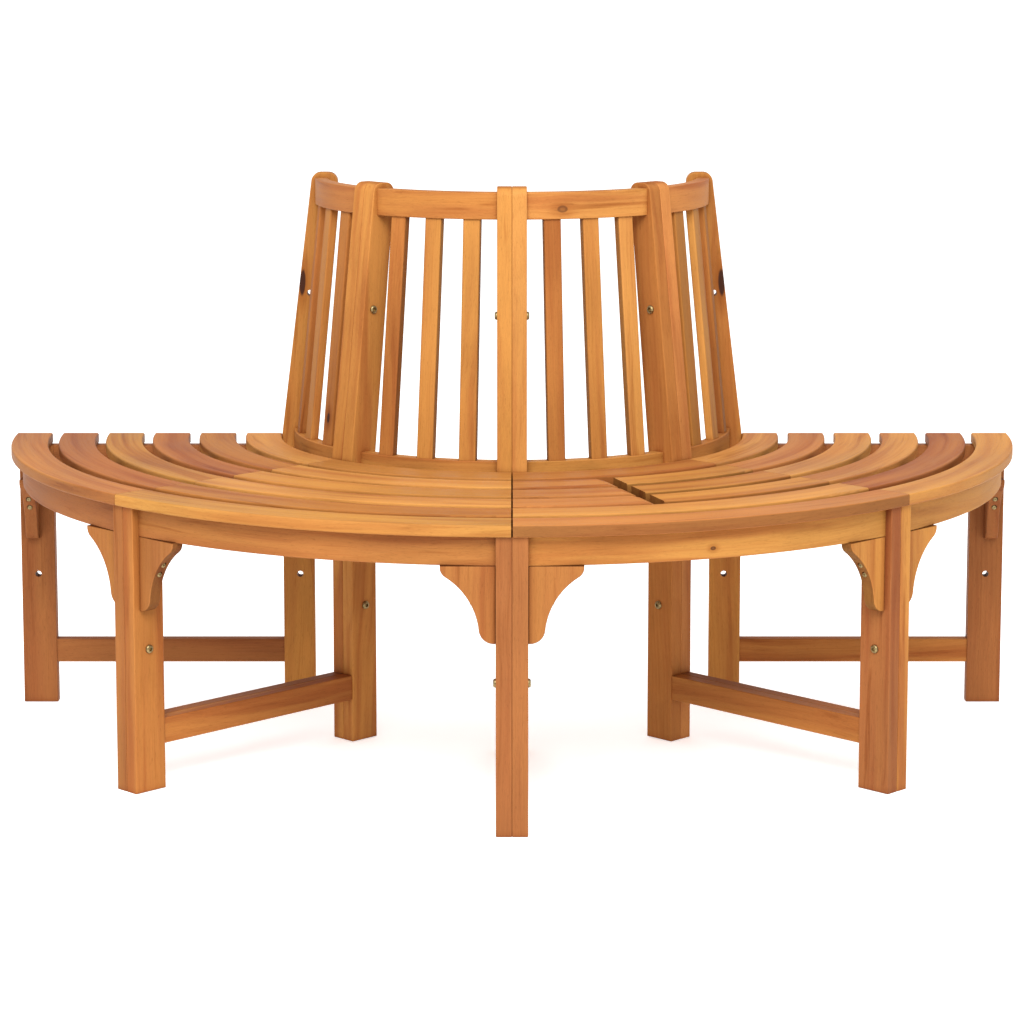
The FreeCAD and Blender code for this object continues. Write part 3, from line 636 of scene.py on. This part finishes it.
def satin_brass(name):
    """Brass with fine handling marks, mottled darker and lighter."""
    material = bpy.data.materials.new(name)
    material.use_nodes = True
    tree = material.node_tree
    shader = tree.nodes["Principled BSDF"]
    place = add(tree, "TexCoord").outputs["Object"]
    marks_in_metre = 380.0
    mottle = noise(tree, place, (marks_in_metre,) * 3, detail=3.0)
    colour = colour_ramp(tree, mottle, ((0.3, (0.17, 0.12, 0.05)), (0.7, (0.38, 0.29, 0.14))))
    tree.links.new(colour["Color"], shader.inputs["Base Color"])
    roughness = fade(tree, mottle, 0.3, 0.7, 0.36, 0.52)
    tree.links.new(roughness, shader.inputs["Roughness"])
    shader.inputs["Metallic"].default_value = 1.0
    return material


def dress(node, material):
    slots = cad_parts[node].data.materials
    slots.clear()
    slots.append(material)


def dress_timber(node, rotation, timbers, seed, **extras):
    dress(node, oiled_hardwood(node, rotation, timbers, seed, knot=KNOTS.get(node), **extras))


def dress_frame(section, number, middle, seed):
    """The four pieces of a section's left or right end, with their grain along their length."""
    seam = middle + (number - 0.5) * SECTION_ANGLE
    rotations = {
        "front_leg": grain_rotation(True, seam),
        "back_post": grain_rotation(True, seam, POST_LEAN),
        "seat_bearer": grain_rotation(False, seam),
        "stretcher": grain_rotation(False, seam),
    }
    timbers = FRAME_TIMBERS[section][number]
    for (part, rotation), timber, frame_seed in zip(rotations.items(), timbers, FRAME_SEEDS):
        dress_timber(
            f"{section}_{SIDES[number]}_{part}", rotation, (timber,),
            seed + frame_seed + SIDE_SEED_STEP * number,
        )


def dress_section(index, section):
    """Each sub-part's own timber, with the grain along its length."""
    middle = FRONT_TURN + (index - (len(SECTIONS) - 1) / 2) * SECTION_ANGLE
    along_chord = grain_rotation(False, middle + math.radians(90))
    outwards = (math.cos(middle), math.sin(middle), 0.0)
    sideways = (-math.sin(middle), math.cos(middle), 0.0)
    seed = SECTION_SEED_STEP * (index + 1)
    for number in range(len(SIDES)):
        dress_frame(section, number, middle, seed)
    for part, timber, rail_seed in zip(RAILS, RAIL_TIMBERS[section], RAIL_SEEDS):
        dress_timber(
            f"{section}_{part}", along_chord, (timber,), seed + rail_seed, bend_turn=middle,
        )
    seat_timbers = SEAT_TIMBERS[section]
    # Painted shade on the board edges: the rim's partly its own tone, the gaps' and the slot's all
    # shade
    edge_tones = [RIM_EDGE_TONES_AND_SHADES[section]] + [GAP_EDGE_PAINTED_SHADE] * (BOARDS_PER_SECTION - 1)
    edge_tones += [SLOT_EDGE_PAINTED_SHADE] * (len(seat_timbers) - BOARDS_PER_SECTION)
    dress_timber(
        f"{section}_seat_boards", along_chord, seat_timbers, seed + SEAT_SEED,
        count=count_seat_boards(middle, section == SLOTTED_SECTION), edge_tones=edge_tones,
        bend_turn=middle,
    )
    dress_timber(
        # The slats' sides, or on the right wing their broad faces, take painted shade
        f"{section}_back_slats", grain_rotation(True, middle, SLAT_LEAN), SLAT_TIMBERS[section],
        seed + SLAT_SEED, count=count_slats(middle),
        face=sideways if section in SLATS_SHADED_ON_BROAD_FACES else outwards,
        edge_tones=(SLAT_EDGE_PAINTED_SHADES[section],) * SLATS_PER_SECTION,
    )
    # The brackets' curved edges take painted shade, partly their cross grain's own tone
    dress_timber(
        f"{section}_brackets", grain_rotation(True, middle), BRACKET_TIMBERS[section],
        seed + BRACKET_SEED, count=count_sides(middle), face=outwards,
        edge_tones=BRACKET_EDGE_TONES_AND_SHADES[section],
    )


def dress_fasteners():
    brass = satin_brass("satin_brass")
    for node in ("frame_bolts", "sleeve_nuts", "bracket_screws"):
        dress(node, brass)


# Camera, light and floor

def place_camera():
    """The photograph's station in front of the bench, above the height of its back."""
    data = bpy.data.cameras.new("camera")
    camera = bpy.data.objects.new("camera", data)
    bpy.context.scene.collection.objects.link(camera)
    bpy.context.scene.camera = camera
    distance_from_tree = 5.0047
    height = 1.2435
    downwards = math.radians(7.907)
    camera.location = (0.0, TREE_AXIS.y - distance_from_tree, height)
    camera.rotation_euler = (math.radians(90) - downwards, 0.0, 0.0)
    data.sensor_width = 36.0
    data.lens = 110.17
    data.shift_y = -0.1423
    data.clip_end = 1000.0


def light_studio():
    """A white surround and one large softbox above the camera."""
    world = bpy.data.worlds.new("studio")
    bpy.context.scene.world = world
    world.use_nodes = True
    surround = world.node_tree.nodes["Background"].inputs
    surround["Color"].default_value = (1.0, 1.0, 1.0, 1.0)
    surround["Strength"].default_value = 1.0
    data = bpy.data.lights.new("front_softbox", "AREA")
    data.shape = "RECTANGLE"
    data.size = 3.0
    data.size_y = 2.2
    data.energy = 260.0
    softbox = bpy.data.objects.new("front_softbox", data)
    bpy.context.scene.collection.objects.link(softbox)
    softbox.location = (-0.15, -3.2, 3.6)
    seat_middle = Vector((0.0, 0.0, 0.45))
    to_seat = seat_middle - softbox.location
    softbox.rotation_euler = to_seat.to_track_quat("-Z", "Y").to_euler()
    bpy.context.scene.view_settings.view_transform = "Standard"


def lay_floor():
    below_feet = -0.0005
    bpy.ops.mesh.primitive_plane_add(size=400.0, location=(0.0, 0.0, below_feet))
    floor = bpy.context.object
    floor.name = "studio_floor"
    material = bpy.data.materials.new("pale_floor")
    material.use_nodes = True
    shader = material.node_tree.nodes["Principled BSDF"].inputs
    shader["Base Color"].default_value = (0.93, 0.93, 0.93, 1.0)
    shader["Roughness"].default_value = 0.9
    shader["Emission Color"].default_value = (1.0, 1.0, 1.0, 1.0)
    shader["Emission Strength"].default_value = 0.45
    floor.data.materials.append(material)


place_camera()
light_studio()
lay_floor()
for section_index, section_name in enumerate(SECTIONS):
    dress_section(section_index, section_name)
# The battens' umber is painted shade for the inside of the slot
dress_timber("seat_battens", grain_rotation(False, FRONT_TURN), ("umber",), BATTEN_SEED)
dress_fasteners()
